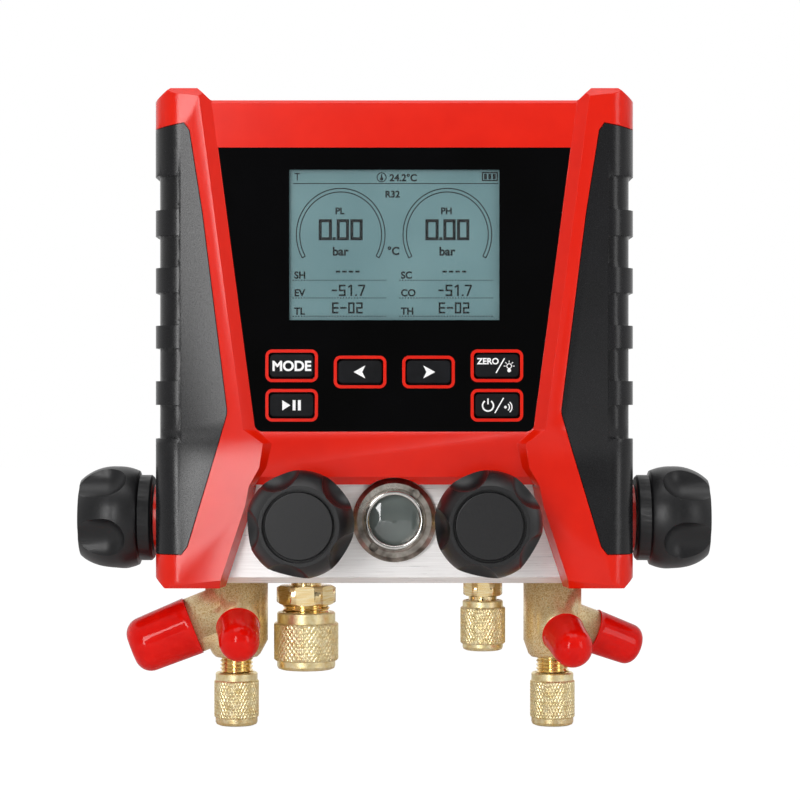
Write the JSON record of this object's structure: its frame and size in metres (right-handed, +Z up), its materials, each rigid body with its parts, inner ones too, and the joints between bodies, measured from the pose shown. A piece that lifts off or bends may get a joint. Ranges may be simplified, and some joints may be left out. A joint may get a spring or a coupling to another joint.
{
  "type": "refrigerant manifold gauge",
  "caption": "Handheld digital manifold gauge: bevelled housing with soft grips over a drilled valve block with lobed valve knobs, sight glass, capped flare ports and a hanging hook.",
  "frame": {"origin": "the point that the folded hook's loop bears on, midway across the tool", "axes": "+X to the viewer's right, +Y to the back of the tool, +Z up; the display faces -Y"},
  "size_m": [0.2074, 0.087, 0.208],
  "materials": {
    "red_abs": "fine satin moulding",
    "grip_rubber": "matt soft rubber",
    "panel_gloss": "high gloss",
    "window_clear": "clear",
    "lcd": "grey-green liquid crystal",
    "board": "green solder mask",
    "switch_steel": "bright",
    "block_aluminium": "brushed",
    "ring_nickel": "satin nickel plate",
    "seal_rubber": "moulded",
    "sight_glass": "polished",
    "turned_brass": "bright turned",
    "cast_brass": "shot-blasted",
    "knurled_brass": "diamond knurled",
    "piston_brass": "turned",
    "stem_steel": "ground",
    "knob_plastic": "fine matt texture",
    "dust_cap_vinyl": "glossy dipped vinyl",
    "key_rubber": "satin silicone",
    "hook_steel": "zinc plated",
    "screw_steel": "black zinc",
    "cell_sleeve": "printed sleeve, bare",
    "sensor_steel": "turned",
    "socket_plastic": "moulded"
  },
  "bodies": {
    "root": {"front_shell": "red_abs", "rear_shell": "red_abs", "left_grip": "grip_rubber", "right_grip": "grip_rubber", "display_panel": "panel_gloss", "display_window": "window_clear", "lcd_module": "lcd", "circuit_board": "board", "key_switches": "switch_steel", "manifold_block": "block_aluminium", "sight_glass_ring": "ring_nickel", "sight_glass_gasket": "seal_rubber", "sight_glass_lens": "sight_glass", "valve_bonnets": "turned_brass", "low_port_body": "cast_brass", "high_port_body": "cast_brass", "vacuum_fitting": "turned_brass", "charge_fitting": "turned_brass", "hook_pin": "screw_steel", "battery_cells": "cell_sleeve", "housing_screws": "screw_steel", "block_screws": "screw_steel", "pressure_sensors": "sensor_steel", "probe_sockets": "socket_plastic"},
    "low_valve_lift": {"low_piston": "piston_brass"},
    "low_valve_knob": {"low_knob": "knob_plastic", "low_knob_disc": "knob_plastic", "low_stem": "stem_steel"},
    "vacuum_valve_lift": {"vacuum_piston": "piston_brass"},
    "vacuum_valve_knob": {"vacuum_knob": "knob_plastic", "vacuum_knob_disc": "knob_plastic", "vacuum_stem": "stem_steel"},
    "charge_valve_lift": {"charge_piston": "piston_brass"},
    "charge_valve_knob": {"charge_knob": "knob_plastic", "charge_knob_disc": "knob_plastic", "charge_stem": "stem_steel"},
    "high_valve_lift": {"high_piston": "piston_brass"},
    "high_valve_knob": {"high_knob": "knob_plastic", "high_knob_disc": "knob_plastic", "high_stem": "stem_steel"},
    "low_cap_lift": {"low_cap_seal": "seal_rubber"},
    "low_cap": {"low_brass_cap": "knurled_brass"},
    "vacuum_cap_lift": {"vacuum_cap_seal": "seal_rubber"},
    "vacuum_cap": {"vacuum_brass_cap": "knurled_brass"},
    "charge_cap_lift": {"charge_cap_seal": "seal_rubber"},
    "charge_cap": {"charge_brass_cap": "knurled_brass"},
    "high_cap_lift": {"high_cap_seal": "seal_rubber"},
    "high_cap": {"high_brass_cap": "knurled_brass"},
    "low_side_dust_cap": {"low_side_dust_cap": "dust_cap_vinyl"},
    "low_front_dust_cap": {"low_front_dust_cap": "dust_cap_vinyl"},
    "high_side_dust_cap": {"high_side_dust_cap": "dust_cap_vinyl"},
    "high_front_dust_cap": {"high_front_dust_cap": "dust_cap_vinyl"},
    "button_mode": {"button_mode": "key_rubber"},
    "button_play_pause": {"button_play_pause": "key_rubber"},
    "button_left": {"button_left": "key_rubber"},
    "button_right": {"button_right": "key_rubber"},
    "button_zero_light": {"button_zero_light": "key_rubber"},
    "button_power": {"button_power": "key_rubber"},
    "hook": {"hook": "hook_steel"},
    "battery_door": {"battery_door": "red_abs"}
  },
  "joints": [
    {"name": "low_valve_lift", "type": "slide", "parent": "root", "child": "low_valve_lift", "axis": [-1, 0, 0], "range_m": [0, 0.0025]},
    {"name": "low_valve_turn", "type": "hinge", "parent": "low_valve_lift", "child": "low_valve_knob", "pos_m": [-0.0627, -0.026, -0.0725], "axis": [-1, 0, 0], "range_deg": [0, 900]},
    {"name": "vacuum_valve_lift", "type": "slide", "parent": "root", "child": "vacuum_valve_lift", "axis": [0, -1, 0], "range_m": [0, 0.0025]},
    {"name": "vacuum_valve_turn", "type": "hinge", "parent": "vacuum_valve_lift", "child": "vacuum_valve_knob", "pos_m": [-0.0295, -0.042, -0.0725], "axis": [0, -1, 0], "range_deg": [0, 900]},
    {"name": "charge_valve_lift", "type": "slide", "parent": "root", "child": "charge_valve_lift", "axis": [0, -1, 0], "range_m": [0, 0.0025]},
    {"name": "charge_valve_turn", "type": "hinge", "parent": "charge_valve_lift", "child": "charge_valve_knob", "pos_m": [0.0295, -0.042, -0.0725], "axis": [0, -1, 0], "range_deg": [0, 900]},
    {"name": "high_valve_lift", "type": "slide", "parent": "root", "child": "high_valve_lift", "axis": [1, 0, 0], "range_m": [0, 0.0025]},
    {"name": "high_valve_turn", "type": "hinge", "parent": "high_valve_lift", "child": "high_valve_knob", "pos_m": [0.0627, -0.026, -0.0725], "axis": [1, 0, 0], "range_deg": [0, 900]},
    {"name": "low_cap_lift", "type": "slide", "parent": "root", "child": "low_cap_lift", "axis": [0, 0, -1], "range_m": [0, 0.00762]},
    {"name": "low_cap_turn", "type": "hinge", "parent": "low_cap_lift", "child": "low_cap", "pos_m": [-0.0524, -0.026, -0.0932], "axis": [0, 0, -1], "range_deg": [0, 2160]},
    {"name": "vacuum_cap_lift", "type": "slide", "parent": "root", "child": "vacuum_cap_lift", "axis": [0, 0, -1], "range_m": [0, 0.00917]},
    {"name": "vacuum_cap_turn", "type": "hinge", "parent": "vacuum_cap_lift", "child": "vacuum_cap", "pos_m": [-0.0293, -0.026, -0.0932], "axis": [0, 0, -1], "range_deg": [0, 2340]},
    {"name": "charge_cap_lift", "type": "slide", "parent": "root", "child": "charge_cap_lift", "axis": [0, 0, -1], "range_m": [0, 0.00762]},
    {"name": "charge_cap_turn", "type": "hinge", "parent": "charge_cap_lift", "child": "charge_cap", "pos_m": [0.0293, -0.026, -0.0932], "axis": [0, 0, -1], "range_deg": [0, 2160]},
    {"name": "high_cap_lift", "type": "slide", "parent": "root", "child": "high_cap_lift", "axis": [0, 0, -1], "range_m": [0, 0.00762]},
    {"name": "high_cap_turn", "type": "hinge", "parent": "high_cap_lift", "child": "high_cap", "pos_m": [0.0524, -0.026, -0.0932], "axis": [0, 0, -1], "range_deg": [0, 2160]},
    {"name": "low_side_dust_cap_pull", "type": "slide", "parent": "root", "child": "low_side_dust_cap", "axis": [-0.9253, -0.0973, -0.3665], "range_m": [0, 0.022]},
    {"name": "low_front_dust_cap_pull", "type": "slide", "parent": "root", "child": "low_front_dust_cap", "axis": [0.0973, -0.9253, -0.3665], "range_m": [0, 0.022]},
    {"name": "high_side_dust_cap_pull", "type": "slide", "parent": "root", "child": "high_side_dust_cap", "axis": [0.9108, 0.2187, -0.3502], "range_m": [0, 0.022]},
    {"name": "high_front_dust_cap_pull", "type": "slide", "parent": "root", "child": "high_front_dust_cap", "axis": [0.2187, -0.9108, -0.3502], "range_m": [0, 0.022]},
    {"name": "button_mode_press", "type": "slide", "parent": "root", "child": "button_mode", "axis": [0, 1, 0], "range_m": [0, 0.0008], "stiffness_N_per_m": 2500},
    {"name": "button_play_pause_press", "type": "slide", "parent": "root", "child": "button_play_pause", "axis": [0, 1, 0], "range_m": [0, 0.0008], "stiffness_N_per_m": 2500},
    {"name": "button_left_press", "type": "slide", "parent": "root", "child": "button_left", "axis": [0, 1, 0], "range_m": [0, 0.0008], "stiffness_N_per_m": 2500},
    {"name": "button_right_press", "type": "slide", "parent": "root", "child": "button_right", "axis": [0, 1, 0], "range_m": [0, 0.0008], "stiffness_N_per_m": 2500},
    {"name": "button_zero_light_press", "type": "slide", "parent": "root", "child": "button_zero_light", "axis": [0, 1, 0], "range_m": [0, 0.0008], "stiffness_N_per_m": 2500},
    {"name": "button_power_press", "type": "slide", "parent": "root", "child": "button_power", "axis": [0, 1, 0], "range_m": [0, 0.0008], "stiffness_N_per_m": 2500},
    {"name": "hook_swing", "type": "hinge", "parent": "root", "child": "hook", "pos_m": [0, 0, 0.0535], "axis": [1, 0, 0], "range_deg": [0, 180]},
    {"name": "battery_door_pull", "type": "slide", "parent": "root", "child": "battery_door", "axis": [0, 1, 0], "range_m": [0, 0.02]}
  ],
  "couplings": [
    {"joint": "low_valve_turn", "follows": "low_valve_lift", "rad_per_m": 6283.2},
    {"joint": "vacuum_valve_turn", "follows": "vacuum_valve_lift", "rad_per_m": 6283.2},
    {"joint": "charge_valve_turn", "follows": "charge_valve_lift", "rad_per_m": 6283.2},
    {"joint": "high_valve_turn", "follows": "high_valve_lift", "rad_per_m": 6283.2},
    {"joint": "low_cap_turn", "follows": "low_cap_lift", "rad_per_m": 4947.4},
    {"joint": "vacuum_cap_turn", "follows": "vacuum_cap_lift", "rad_per_m": 4452.7},
    {"joint": "charge_cap_turn", "follows": "charge_cap_lift", "rad_per_m": 4947.4},
    {"joint": "high_cap_turn", "follows": "high_cap_lift", "rad_per_m": 4947.4}
  ]
}
